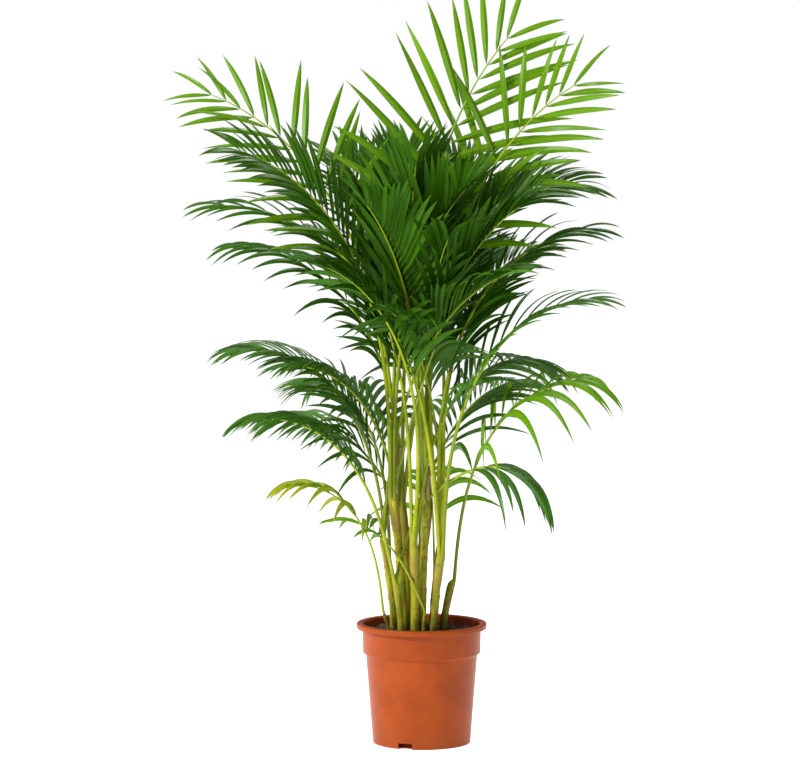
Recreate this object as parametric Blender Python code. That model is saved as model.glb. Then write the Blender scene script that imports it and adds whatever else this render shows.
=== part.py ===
"""Feather palm, about 1.4 m tall, growing as a clump of canes in a moulded plastic nursery pot.

Origin: centre of the underside of the pot. +Z is up and +X is to the viewer's right.
Everything is in metres. Every cane, leaf and spear is one closed solid of its own, and the
leaves are grown one after another so that no leaflet passes through anything grown before it.
"""

import math
import random
from collections import namedtuple

import bmesh
import bpy
from mathutils import Matrix, Vector
from mathutils.bvhtree import BVHTree

# ---------------------------------------------------------------- driving dimensions
GAP = 0.0003  # clearance between neighbouring solids
UP = Vector((0, 0, 1))

POT_HEIGHT = 0.222
RIM_RADIUS = 0.120  # outside of the rolled lip
COLLAR_RADIUS = 0.1095  # straight band under the lip
COLLAR_HEIGHT = 0.045
BODY_RADIUS = 0.103  # just under the collar's step
FOOT_RADIUS = 0.090
POT_WALL = 0.002
LIP_HEIGHT = 0.010
BASE_LIFT = 0.005  # how far the drained ring of the base stands off the table
PAD_RADIUS = 0.030  # the middle of the base, which also touches the table
RING_RADIUS = 0.076  # inner edge of the foot ring
POT_SEGMENTS = 48
NOTCHES = 3
NOTCH_WIDTH = 0.027
NOTCH_HEIGHT = 0.011
FIRST_NOTCH_DEG = 250
DRAIN_HOLES = 6
DRAIN_RADIUS = 0.006
DRAIN_CIRCLE = 0.055

SOIL_TOP = 0.201
SOIL_RELIEF = 0.003  # height of the lumps in the compost
CANE_DEPTH = 0.045  # how deep a cane stands in the compost

CLUMP_X = -0.008  # the clump stands a little left of the pot's middle
CLUMP_RADIUS = 0.055
CANE_SIDES = 8
CANE_STATIONS = 5

LEAFLET_MID = 0.45  # where a leaflet is widest, as a share of its length
LEAFLET_RIDGE = 0.0012  # height of the midrib at the widest place
LEAFLET_FOOT = 0.0045  # length of rachis that a leaflet grows from
PETIOLE_HALF = 0.0033  # half the stalk's thickness above the cane
RACHIS_TIP_HALF = 0.0007
CLEARANCE = 0.0006  # how much larger a trial leaflet is than the leaflet that is kept

rng = random.Random(11)

# ---------------------------------------------------------------- colours
TERRACOTTA = (0.55, 0.16, 0.05)
COMPOST = (0.05, 0.032, 0.02)
CANE_GREEN = (0.35, 0.42, 0.06)
LEAF_GREEN = (0.05, 0.22, 0.02)
YOUNG_GREEN = (0.25, 0.42, 0.05)
DRY_BROWN = (0.30, 0.20, 0.06)

# A cane: how tall its sheathed stem is above the compost, and its radius there.
CaneKind = namedtuple("CaneKind", "name count height radius seats")
CANE_KINDS = (
    CaneKind("tall", 5, 0.235, 0.0078, 3),
    CaneKind("middle", 6, 0.165, 0.0074, 3),
    CaneKind("short", 4, 0.100, 0.0062, 2),
    CaneKind("seedling", 3, 0.050, 0.0032, 1),
)
KIND_OF = {kind.name: kind for kind in CANE_KINDS}

# A leaf: the kind of cane it grows from, the compass direction it leans in (0 is +X, 270 is
# towards the viewer), how far out and how high its tip is, how much it arches on the way, the
# share of it that is bare stalk, its pairs of leaflets and their greatest length, how far the
# lowest leaflets spread from the midrib, how steeply the leaflets stand up in a V, how much they
# hang, and how far the blade is rolled over.
Leaf = namedtuple("Leaf", "cane toward reach top arch stalk pairs leaflet spread vee hang roll")
LEAVES = (
    Leaf("tall", 16, 0.175, 1.300, 48, 0.58, 12, 0.260, 62, 6, 0.05, 74),
    Leaf("tall", 352, 0.290, 1.210, 58, 0.54, 12, 0.235, 62, 8, 0.12, 66),
    Leaf("tall", 174, 0.385, 1.195, 66, 0.52, 14, 0.205, 62, 12, 0.16, -62),
    Leaf("tall", 196, 0.335, 1.090, 72, 0.50, 12, 0.190, 44, 20, 0.30, -45),
    Leaf("tall", 262, 0.110, 1.060, 42, 0.55, 12, 0.225, 48, 38, 0.12, 0),
    Leaf("tall", 305, 0.150, 1.020, 52, 0.53, 12, 0.225, 46, 38, 0.15, 15),
    Leaf("tall", 98, 0.155, 1.085, 50, 0.52, 12, 0.220, 48, 30, 0.20, 0),
    Leaf("tall", 62, 0.220, 1.060, 60, 0.50, 12, 0.215, 46, 30, 0.20, 15),
    Leaf("tall", 128, 0.220, 1.070, 60, 0.50, 12, 0.215, 46, 30, 0.20, -20),
    Leaf("tall", 228, 0.180, 0.990, 62, 0.53, 12, 0.215, 44, 34, 0.22, -15),
    Leaf("tall", 332, 0.215, 0.990, 64, 0.53, 12, 0.225, 38, 34, 0.20, 30),
    Leaf("tall", 24, 0.320, 1.030, 78, 0.50, 12, 0.200, 38, 24, 0.35, 35),
    Leaf("middle", 184, 0.355, 0.990, 86, 0.44, 12, 0.190, 36, 20, 0.45, -30),
    Leaf("middle", 5, 0.300, 0.945, 84, 0.46, 11, 0.190, 37, 20, 0.45, 28),
    Leaf("middle", 172, 0.325, 0.915, 88, 0.44, 11, 0.185, 36, 15, 0.60, -20),
    Leaf("middle", 352, 0.315, 0.820, 84, 0.44, 11, 0.180, 38, 20, 0.40, 20),
    Leaf("middle", 45, 0.300, 0.900, 82, 0.48, 12, 0.200, 42, 24, 0.35, 10),
    Leaf("middle", 80, 0.330, 0.940, 80, 0.48, 12, 0.210, 44, 24, 0.35, 0),
    Leaf("middle", 112, 0.350, 0.870, 85, 0.48, 12, 0.210, 44, 24, 0.35, 0),
    Leaf("middle", 148, 0.270, 0.940, 80, 0.46, 11, 0.200, 42, 24, 0.35, -10),
    Leaf("middle", 282, 0.150, 0.930, 70, 0.55, 11, 0.205, 44, 30, 0.40, 0),
    Leaf("middle", 217, 0.205, 0.880, 76, 0.52, 11, 0.195, 42, 26, 0.45, -10),
    Leaf("middle", 320, 0.180, 0.860, 74, 0.53, 11, 0.200, 42, 26, 0.45, 10),
    Leaf("middle", 246, 0.130, 0.800, 66, 0.56, 10, 0.190, 44, 24, 0.75, 0),
    Leaf("short", 8, 0.300, 0.665, 84, 0.42, 9, 0.245, 54, 16, 0.95, 10),
    Leaf("short", 178, 0.310, 0.725, 86, 0.44, 10, 0.190, 42, 18, 0.55, -10),
    Leaf("short", 187, 0.290, 0.600, 86, 0.42, 10, 0.195, 46, 16, 0.70, 0),
    Leaf("middle", 200, 0.230, 0.700, 80, 0.46, 9, 0.195, 46, 14, 0.60, 0),
    Leaf("short", 160, 0.265, 0.590, 84, 0.46, 8, 0.190, 46, 14, 0.65, 0),
    Leaf("middle", 22, 0.240, 0.690, 82, 0.46, 9, 0.200, 46, 14, 0.70, 10),
    Leaf("short", 55, 0.310, 0.650, 84, 0.48, 9, 0.200, 46, 18, 0.55, 0),
    Leaf("short", 122, 0.300, 0.640, 84, 0.48, 9, 0.200, 46, 18, 0.55, 0),
    Leaf("short", 348, 0.200, 0.490, 90, 0.48, 6, 0.200, 54, 6, 1.30, 0),
    Leaf("seedling", 192, 0.225, 0.480, 86, 0.45, 6, 0.160, 46, 10, 0.80, 0),
    Leaf("seedling", 174, 0.140, 0.410, 86, 0.64, 4, 0.110, 56, 10, 0.50, 0),
    Leaf("seedling", 85, 0.250, 0.480, 80, 0.48, 6, 0.165, 46, 10, 0.70, 0),
)
# Leaves that have not opened yet, and stalks of old leaves that have been cut off.
SPEARS = (
    Leaf("tall", 110, 0.050, 0.960, 6, 1.0, 0, 0, 0, 0, 0, 0),
    Leaf("middle", 340, 0.060, 0.790, 6, 1.0, 0, 0, 0, 0, 0, 0),
)
CUT_STALKS = (
    Leaf("middle", 205, 0.034, 0.550, 4, 1.0, 0, 0, 0, 0, 0, 0),
    Leaf("tall", 310, 0.040, 0.520, 4, 1.0, 0, 0, 0, 0, 0, 0),
)


# ---------------------------------------------------------------- helpers
def clear_scene():
    for obj in list(bpy.data.objects):
        bpy.data.objects.remove(obj)


def material(name, colour, roughness):
    mat = bpy.data.materials.new(name)
    mat.use_nodes = True
    shader = mat.node_tree.nodes["Principled BSDF"]
    shader.inputs["Base Color"].default_value = (*colour, 1)
    shader.inputs["Roughness"].default_value = roughness
    shader.inputs["Metallic"].default_value = 0
    return mat


def add_object(name, bm, mat, smooth_angle=None):
    """Turns a bmesh into a named object in the scene."""
    bmesh.ops.recalc_face_normals(bm, faces=bm.faces)
    if bm.calc_volume(signed=True) < 0:
        bmesh.ops.reverse_faces(bm, faces=bm.faces)
    mesh = bpy.data.meshes.new(name)
    bm.to_mesh(mesh)
    bm.free()
    mesh.materials.append(mat)
    if smooth_angle:
        mesh.shade_smooth()
        mesh.set_sharp_from_angle(angle=math.radians(smooth_angle))
    obj = bpy.data.objects.new(name, mesh)
    bpy.context.scene.collection.objects.link(obj)
    return obj


def cutter(name, bm):
    """A helper solid that only a Boolean uses."""
    obj = add_object(name, bm, None)
    obj.hide_render = True
    obj.display_type = "WIRE"
    return obj


def cut(obj, tool):
    modifier = obj.modifiers.new(tool.name, "BOOLEAN")
    modifier.operation = "DIFFERENCE"
    modifier.object = tool


def turned(profile, segments):
    """A bmesh turned round Z from (radius, height) points that start and end on the axis."""
    bm = bmesh.new()
    verts = [bm.verts.new((r, 0, z)) for r, z in profile]
    edges = [bm.edges.new(pair) for pair in zip(verts, verts[1:])]
    bmesh.ops.spin(
        bm,
        geom=verts + edges,
        axis=UP,
        cent=(0, 0, 0),
        dvec=(0, 0, 0),
        angle=math.tau,
        steps=segments,
        use_merge=True,
        use_duplicate=False,
    )
    bmesh.ops.remove_doubles(bm, verts=bm.verts, dist=1e-6)
    return bm


def compass(degrees):
    angle = math.radians(degrees)
    return Vector((math.cos(angle), math.sin(angle), 0))


def turn_between(a, b):
    """Smallest angle in degrees between two compass directions."""
    return abs((a - b + 180) % 360 - 180)


# ---------------------------------------------------------------- pot and compost
def inner_floor():
    """(radius, height) of the pot's inner floor, from the axis out to the foot of the wall."""
    slant = POT_WALL * (math.sqrt(2) - 1)  # keeps the sloping parts of the base as thick
    high = POT_WALL + BASE_LIFT
    return [
        (0, POT_WALL),
        (PAD_RADIUS - slant, POT_WALL),
        (PAD_RADIUS - slant + BASE_LIFT, high),
        (RING_RADIUS + slant - BASE_LIFT, high),
        (RING_RADIUS + slant, POT_WALL),
        (FOOT_RADIUS - POT_WALL, POT_WALL),
    ]


def inner_wall():
    """(radius, height) of the pot's inner wall, from the floor up to the lip."""
    collar_foot = POT_HEIGHT - LIP_HEIGHT - COLLAR_HEIGHT
    return [
        (BODY_RADIUS - POT_WALL, collar_foot - 0.002),
        (COLLAR_RADIUS - POT_WALL - 0.003, collar_foot + 0.002),
        (COLLAR_RADIUS - POT_WALL, POT_HEIGHT - LIP_HEIGHT),
    ]


def pot_profile():
    """The whole wall, from the middle of the underside round the lip to the inner floor."""
    collar_foot = POT_HEIGHT - LIP_HEIGHT - COLLAR_HEIGHT
    lip_foot = POT_HEIGHT - LIP_HEIGHT
    underside = [
        (0, 0),
        (PAD_RADIUS, 0),
        (PAD_RADIUS + BASE_LIFT, BASE_LIFT),
        (RING_RADIUS - BASE_LIFT, BASE_LIFT),
        (RING_RADIUS, 0),
        (FOOT_RADIUS - 0.0015, 0),
        (FOOT_RADIUS, 0.0015),
    ]
    outside = [
        (BODY_RADIUS, collar_foot - 0.003),
        (COLLAR_RADIUS - 0.003, collar_foot),
        (COLLAR_RADIUS, lip_foot - 0.001),
    ]
    lip_bulge = [(-0.004, 0), (0, 0.003), (0, 0.007), (-0.003, 0.010), (-0.007, 0.0095)]
    lip = [(RIM_RADIUS + dr, lip_foot + dz) for dr, dz in lip_bulge]
    return underside + outside + lip + inner_wall()[::-1] + inner_floor()[::-1]


def build_pot(mat):
    pot = add_object("nursery_pot", turned(pot_profile(), POT_SEGMENTS), mat, 35)
    notches = bmesh.new()
    for i in range(NOTCHES):
        angle = math.radians(FIRST_NOTCH_DEG) + i * math.tau / NOTCHES
        size = Matrix.Diagonal((0.024, NOTCH_WIDTH, 2 * NOTCH_HEIGHT, 1))
        place = Matrix.Rotation(angle, 4, "Z") @ Matrix.Translation((FOOT_RADIUS + 0.002, 0, 0))
        bmesh.ops.create_cube(notches, size=1, matrix=place @ size)
    cut(pot, cutter("notch_cutter", notches))
    holes = bmesh.new()
    for i in range(DRAIN_HOLES):
        centre = compass(30 + i * 360 / DRAIN_HOLES) * DRAIN_CIRCLE + UP * BASE_LIFT
        bmesh.ops.create_cone(
            holes,
            cap_ends=True,
            segments=10,
            radius1=DRAIN_RADIUS,
            radius2=DRAIN_RADIUS,
            depth=0.020,
            matrix=Matrix.Translation(centre),
        )
    cut(pot, cutter("drain_cutter", holes))
    return pot


def build_soil(mat, canes):
    """Compost filling the pot to just under the collar's top, with a pocket round each cane."""
    floor = [(r, z + 0.0006) for r, z in inner_floor()]
    floor[-1] = (floor[-1][0] - 0.0012, floor[-1][1])
    wall = [(r - 0.0006, z) for r, z in inner_wall()[:2]]
    low, high = inner_wall()[1:3]
    share = (SOIL_TOP - low[1]) / (high[1] - low[1])
    edge = low[0] + share * (high[0] - low[0]) - 0.0006
    rings = (0.8, 0.55, 0.3)
    top = [(edge, SOIL_TOP)] + [(edge * k, SOIL_TOP) for k in rings] + [(0, SOIL_TOP)]
    bm = turned(floor + wall + top, 32)
    for vert in bm.verts:
        radius = math.hypot(vert.co.x, vert.co.y)
        if vert.co.z > SOIL_TOP - 1e-5 and radius < edge * 0.9:
            vert.co.z += SOIL_RELIEF * (rng.random() - 0.35)
    soil = add_object("compost", bm, mat, 40)
    pockets = bmesh.new()
    for cane in canes:
        low, high = cane["line"][:2]
        ahead = (high - low).normalized()
        ends = [low - ahead * 0.002, high + ahead * 0.006]
        radii = [r + GAP * 2 for r in cane["radii"][:2]]
        add_tube(pockets, ends, radii, CANE_SIDES, cane["turn"])
    cut(soil, cutter("pocket_cutter", pockets))
    return soil


# ---------------------------------------------------------------- canes
def ring_frame(axis, turn):
    side = axis.cross(Vector((math.cos(turn), math.sin(turn), 0))).normalized()
    return side, axis.cross(side).normalized()


def add_tube(bm, line, radii, sides, turn=0.3):
    """A closed round bar along the points of line."""
    rings = []
    for i, point in enumerate(line):
        ahead = line[min(i + 1, len(line) - 1)] - line[max(i - 1, 0)]
        side, other = ring_frame(ahead.normalized(), turn)
        ring = []
        for k in range(sides):
            angle = math.tau * k / sides
            spoke = side * math.cos(angle) + other * math.sin(angle)
            ring.append(bm.verts.new(point + spoke * radii[i]))
        rings.append(ring)
    for low, high in zip(rings, rings[1:]):
        for k in range(sides):
            n = (k + 1) % sides
            bm.faces.new((low[k], low[n], high[n], high[k]))
    bm.faces.new(rings[0][::-1])
    bm.faces.new(rings[-1])


def lay_out_canes():
    """Places every cane's foot on a sunflower spiral, tall canes in the middle of the clump."""
    kinds = [kind for kind in CANE_KINDS for _ in range(kind.count)]
    canes = []
    for i, kind in enumerate(kinds):
        out = CLUMP_RADIUS * math.sqrt((i + 0.6) / len(kinds))
        direction = compass(137.5 * i + 20)
        foot = Vector((CLUMP_X, 0, SOIL_TOP - CANE_DEPTH)) + direction * out
        lean = 0.02 + 1.9 * out + rng.uniform(-0.01, 0.01)
        axis = (UP + direction * lean).normalized()
        length = CANE_DEPTH + kind.height * rng.uniform(0.9, 1.12)
        swell = (1.02, 1.06, 1.0, 0.96, 1.0)
        ground = CANE_DEPTH * 1.05 / length
        stations = (0, ground, max(0.45, ground + 0.12), 0.75, 1)
        line = []
        for s in stations:
            bow = direction * (0.006 * math.sin(math.pi * s) * -1)
            line.append(foot + axis * (length * s) + bow)
        radius = kind.radius * rng.uniform(0.92, 1.08)
        canes.append(
            {
                "kind": kind,
                "line": line,
                "radii": [radius * k for k in swell],
                "axis": axis,
                "turn": rng.uniform(0, 1),
                "seats": {137.5 * i + 20 + 360 * k / kind.seats: False for k in range(kind.seats)},
            }
        )
    return canes


def cane_skin(cane, extra):
    """Points and faces of a cane that is thicker by extra all round."""
    bm = bmesh.new()
    radii = [r + extra for r in cane["radii"]]
    add_tube(bm, cane["line"], radii, CANE_SIDES, cane["turn"])
    bm.verts.index_update()
    points = [vert.co.copy() for vert in bm.verts]
    faces = [[vert.index for vert in face.verts] for face in bm.faces]
    bm.free()
    return points, faces


def build_canes(canes, mat):
    count = {"cane": 0, "seedling_stem": 0}
    for cane in canes:
        bm = bmesh.new()
        add_tube(bm, cane["line"], cane["radii"], CANE_SIDES, cane["turn"])
        name = "seedling_stem" if cane["kind"].name == "seedling" else "cane"
        count[name] += 1
        add_object(f"{name}_{count[name]:02d}", bm, mat, 50)


# ---------------------------------------------------------------- leaves
def free_seats(leaf, canes):
    """Free seats on the right kind of cane, the one best placed for this leaf first."""
    wish = Vector((CLUMP_X, 0, 0)) + compass(leaf.toward) * CLUMP_RADIUS * 0.6
    ranked = []
    for cane in canes:
        foot = cane["line"][0]
        away = (Vector((foot.x, foot.y, 0)) - wish).length / CLUMP_RADIUS
        away += 3 * (cane["kind"].name != leaf.cane)
        for seat, taken in cane["seats"].items():
            if not taken:
                ranked.append((away + turn_between(leaf.toward, seat) / 60, seat, cane))
    return sorted(ranked, key=lambda item: item[0])


def leaf_line(leaf, cane, seat_turn, toward, steps=60):
    """Points along a leaf's midrib, from its seat on the cane to its tip."""
    seat_out = cane["radii"][-1] * (0.56 if cane["kind"].seats > 1 else 0)
    axis, out = cane["axis"], compass(toward)
    seat_side = compass(seat_turn)
    seat_side = (seat_side - axis * seat_side.dot(axis)).normalized()
    seat = cane["line"][-1] + axis * 0.0007 + seat_side * seat_out
    arch = math.radians(leaf.arch)
    flat = [Vector((0, 0))]
    for i in range(steps):
        bend = arch * ((i + 0.5) / steps) ** 2
        flat.append(flat[-1] + Vector((math.sin(bend), math.cos(bend))) / steps)
    tip = Vector((CLUMP_X, 0, 0)) + out * leaf.reach
    wanted = Vector(((tip - seat).dot(out), leaf.top - seat.z))
    end = flat[-1]
    lean = math.atan2(wanted.x, wanted.y) - math.atan2(end.x, end.y)
    scale = wanted.length / end.length
    across = out.cross(UP)
    drift = (tip - seat).dot(across)
    line = []
    for i, p in enumerate(flat):
        x = p.x * math.cos(lean) + p.y * math.sin(lean)
        z = p.y * math.cos(lean) - p.x * math.sin(lean)
        s = i / steps
        line.append(seat + out * x * scale + UP * z * scale + across * drift * s * s)
    return line, scale


def at_share(line, s):
    """Point and direction at a share s of an evenly stepped line."""
    place = max(0.0, min(s, 1.0)) * (len(line) - 1)
    i = min(int(place), len(line) - 2)
    return line[i].lerp(line[i + 1], place - i), (line[i + 1] - line[i]).normalized()


def frame_at(leaf, line, s, toward):
    """Point, direction, side and upper face of the midrib at a share s of its length."""
    point, ahead = at_share(line, s)
    side = compass(toward).cross(UP)
    side = (side - ahead * side.dot(ahead)).normalized()
    ease = min(1.0, max(0.0, (s - 0.15) / 0.5))
    roll = math.radians(leaf.roll) * ease * ease * (3 - 2 * ease)
    side = Matrix.Rotation(roll, 3, ahead) @ side
    upper = side.cross(ahead).normalized()
    return point, ahead, side, upper


def half_thickness(leaf, cane, s):
    """Half the thickness of stalk and midrib, which taper from cane to tip."""
    if leaf in CUT_STALKS:
        return PETIOLE_HALF * (0.95 - 0.15 * s)
    size = 0.62 if cane["kind"].name == "seedling" else 0.85 + 0.15 * (leaf.pairs > 10)
    start = PETIOLE_HALF * size
    swell = 0.82 + 0.18 * min(1, s / 0.12)
    return (start * swell) * (1 - s) ** 0.8 + RACHIS_TIP_HALF * s


def stations_of(leaf, length):
    """Shares of the length at which the midrib has a ring, and which ring starts a pair."""
    if not leaf.pairs:
        return [i / 8 for i in range(8)] + [0.995], {}
    bare = [leaf.stalk * i / 6 for i in range(6)]
    foot = LEAFLET_FOOT / length
    rings, pair_at = list(bare), {}
    for i in range(leaf.pairs):
        u = i / (leaf.pairs - 1)
        s = leaf.stalk + (1 - foot * 1.6 - leaf.stalk) * u ** 0.92
        pair_at[len(rings)] = u
        rings += [s, s + foot]
    return rings + [1.0], pair_at


def stem_rings(leaf, cane, line, length, toward, extra=0.0):
    """Corner points (left top, right top, right bottom, left bottom) of each ring."""
    rings = []
    for s in stations_of(leaf, length)[0]:
        point, _, side, upper = frame_at(leaf, line, s, toward)
        if s == 0:  # the foot stands flat on the cane's end
            side = (side - cane["axis"] * side.dot(cane["axis"])).normalized()
            upper = side.cross(cane["axis"]).normalized()
        half = half_thickness(leaf, cane, s) + extra
        across, up = side * half, upper * half * 0.8
        rings.append(
            [point - across + up, point + across + up, point + across - up, point - across - up]
        )
    return rings


def leaflet_points(leaf, frame, corners, hand, u, change, shrink):
    """The widest section (rear, front, ridge) and the tip of a leaflet on one side."""
    point, ahead, side, upper = frame
    spread = math.radians(leaf.spread * (1 - 0.58 * u)) + change[0]
    vee = math.radians(leaf.vee) + change[1]
    outward = side * hand * math.cos(vee) + upper * math.sin(vee)
    start = ahead * math.cos(spread) + outward * math.sin(spread)
    start.normalize()
    length = leaf.leaflet * (0.90 + 0.25 * u - 0.70 * u * u) * shrink
    hang = leaf.hang * (0.75 + 0.5 * length / leaf.leaflet)
    droop = (start - UP * hang).normalized()
    foot = sum(corners, Vector()) / 4
    middle = foot + (start - UP * hang * 0.18).normalized() * length * LEAFLET_MID
    tip = middle + droop * length * (1 - LEAFLET_MID)
    run = (tip - foot).normalized()
    wide = (ahead - run * ahead.dot(run)).normalized()
    face = run.cross(wide) * hand
    half = 0.0058 * math.sqrt(length / 0.2)
    return middle, wide * half, face.normalized(), tip


def leaflet_shell(points, corners, extra=0.0):
    """(points, faces) of a leaflet: four corners on the midrib, a roof section and a tip."""
    middle, wide, face, tip = points
    wide = wide * (1 + extra / wide.length)
    section = [
        middle - wide - face * extra,
        middle + wide - face * extra,
        middle + face * (LEAFLET_RIDGE + extra),
    ]
    rear_top, front_top, front_low, rear_low = range(4)
    rear, front, ridge, end = range(4, 8)
    faces = [
        (rear_top, front_top, ridge),
        (rear_top, ridge, rear),
        (front_top, front, ridge),
        (rear_low, rear, front),
        (rear_low, front, front_low),
        (rear_top, rear, rear_low),
        (front_top, front_low, front),
        (ridge, end, rear),
        (ridge, front, end),
        (rear, end, front),
    ]
    return corners + section + [tip], faces


def box_tree(rings):
    """Search tree of a stem's four sides."""
    points, faces = [], []
    for ring in rings:
        points += ring
    for i in range(len(rings) - 1):
        for k in range(4):
            n = (k + 1) % 4
            a, b = 4 * i, 4 * (i + 1)
            faces.append((a + k, a + n, b + n, b + k))
    faces += [(0, 1, 2, 3), tuple(range(len(points) - 4, len(points)))]
    return points, faces


class Thicket:
    """Everything grown so far, so that new growth can be tested against it."""

    def __init__(self):
        self.points, self.faces, self.tree = [], [], None

    def add(self, points, faces):
        start = len(self.points)
        self.points += points
        self.faces += [tuple(start + i for i in face) for face in faces]
        self.tree = None

    def hits(self, points, faces):
        if not self.faces:
            return False
        if self.tree is None:
            self.tree = BVHTree.FromPolygons(self.points, self.faces)
        return bool(self.tree.overlap(BVHTree.FromPolygons(points, faces)))


def place_stem(leaf, canes, thicket):
    """Finds a seat and a direction in which a leaf's stalk is clear of what has grown."""
    for _, seat, cane in free_seats(leaf, canes):
        for i in range(27):
            toward = leaf.toward + (i // 3 + 1) // 2 * 3 * (-1) ** (i // 3)
            bent = leaf._replace(arch=leaf.arch * (1, 1.25, 0.8)[i % 3])
            line, length = leaf_line(bent, cane, seat, toward)
            trial = box_tree(stem_rings(leaf, cane, line, length, toward, 0.0004))
            if thicket.hits(*trial):
                continue
            cane["seats"][seat] = True
            rings = stem_rings(leaf, cane, line, length, toward)
            thicket.add(*box_tree(rings))
            stem = {"leaf": leaf, "line": line, "length": length, "toward": toward}
            stem["rings"] = rings
            return stem
    return None


def place_stems(canes):
    """Every leaf's stalk, clear of the canes and of each other.

    A leaf that finds no room is given first choice, and they all start again.
    """
    order = [*LEAVES, *SPEARS, *CUT_STALKS]
    for _ in range(200):
        thicket = Thicket()
        for cane in canes:
            thicket.add(*cane_skin(cane, 0.0002))
            cane["seats"] = dict.fromkeys(cane["seats"], False)
        stems = {}
        for leaf in order:
            stems[leaf] = place_stem(leaf, canes, thicket)
            if not stems[leaf]:
                order.remove(leaf)
                order.insert(0, leaf)
                break
        else:
            return stems, thicket
    raise ValueError("the stalks have no room")


def leaflet_changes():
    """Small turns to try for a leaflet, the smallest first, with how much of it is kept."""
    for shrink, tries in ((1.0, 26), (0.8, 12), (0.6, 12), (0.42, 8)):
        for k in range(tries):
            size = math.radians(1.6) * k
            yield (size * math.cos(2.4 * k), size * math.sin(2.4 * k)), shrink


def grow_leaflet(stem, ring, u, hand, thicket, own):
    """A leaflet's shell on one side of ring, clear of all other growth, or None."""
    leaf, rings = stem["leaf"], stem["rings"]
    low, high = rings[ring], rings[ring + 1]
    left = hand < 0
    rear, front = (low[0], low[3]) if left else (low[1], low[2]), (high[0], high[3])
    front = front if left else (high[1], high[2])
    corners = [rear[0], front[0], front[1], rear[1]]
    s = stations_of(leaf, stem["length"])[0][ring]
    frame = frame_at(leaf, stem["line"], s, stem["toward"])
    own_turn = (rng.uniform(-0.07, 0.07), rng.uniform(-0.10, 0.10))
    own_size = rng.uniform(0.92, 1.06)
    for change, shrink in leaflet_changes():
        both = (change[0] + own_turn[0], change[1] + own_turn[1])
        points = leaflet_points(leaf, frame, corners, hand, u, both, shrink * own_size)
        trial = leaflet_shell(points, corners, CLEARANCE)
        if not thicket.hits(*trial) and not own.hits(*trial):
            shell = leaflet_shell(points, corners)
            own.add(*shell)
            return shell
    return None


def build_leaf(name, stem, mat, others):
    """One whole leaf: stalk, midrib and leaflets as a single skin."""
    leaf, rings = stem["leaf"], stem["rings"]
    own = Thicket()
    _, pair_at = stations_of(leaf, stem["length"])
    bm = bmesh.new()
    verts = [[bm.verts.new(p) for p in ring] for ring in rings]
    for i in range(len(rings) - 1):
        for k in range(4):
            n = (k + 1) % 4
            hand = {3: -1, 1: 1}.get(k)
            shell = None
            if i in pair_at and hand:
                shell = grow_leaflet(stem, i, pair_at[i], hand, others, own)
            if not shell:
                bm.faces.new((verts[i][k], verts[i][n], verts[i + 1][n], verts[i + 1][k]))
                continue
            top, low = (0, 3) if hand < 0 else (1, 2)
            foot = [verts[i][top], verts[i + 1][top], verts[i + 1][low], verts[i][low]]
            skin = foot + [bm.verts.new(p) for p in shell[0][4:]]
            for face in shell[1]:
                bm.faces.new([skin[j] for j in face])
    bm.faces.new(verts[0])
    bm.faces.new(verts[-1][::-1])
    others.add(own.points, own.faces)
    add_object(name, bm, mat, 30)
    return len(own.faces) // 10


def main():
    clear_scene()
    terracotta = material("terracotta_plastic", TERRACOTTA, 0.45)
    compost = material("compost", COMPOST, 0.95)
    green_skin = material("cane", CANE_GREEN, 0.5)
    leaf_skin = material("leaf", LEAF_GREEN, 0.45)
    young_skin = material("young_leaf", YOUNG_GREEN, 0.45)
    dry_skin = material("dry_stalk", DRY_BROWN, 0.8)
    canes = lay_out_canes()
    build_pot(terracotta)
    build_soil(compost, canes)
    build_canes(canes, green_skin)

    stems, thicket = place_stems(canes)
    wanted = grown = 0
    groups = (
        ("leaf", LEAVES, leaf_skin),
        ("spear_leaf", SPEARS, young_skin),
        ("cut_stalk", CUT_STALKS, dry_skin),
    )
    for name, leaves, skin in groups:
        for i, leaf in enumerate(leaves, 1):
            grown += build_leaf(f"{name}_{i:02d}", stems[leaf], skin, thicket)
            wanted += 2 * leaf.pairs
    print(f"{grown} of {wanted} leaflets had room")


main()
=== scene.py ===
# %% [markdown]
# # A feather palm in a nursery pot
#
# This lesson dresses a palm whose solid model already exists. The solid model says where every cane,
# leaf and leaflet is and how large it is. Here each one is made again as fine geometry with its own
# material, in exactly the same place.

# %% Load the solid model
import math

import bmesh
import bpy
import numpy as np
from mathutils import Matrix, Vector, noise


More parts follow.
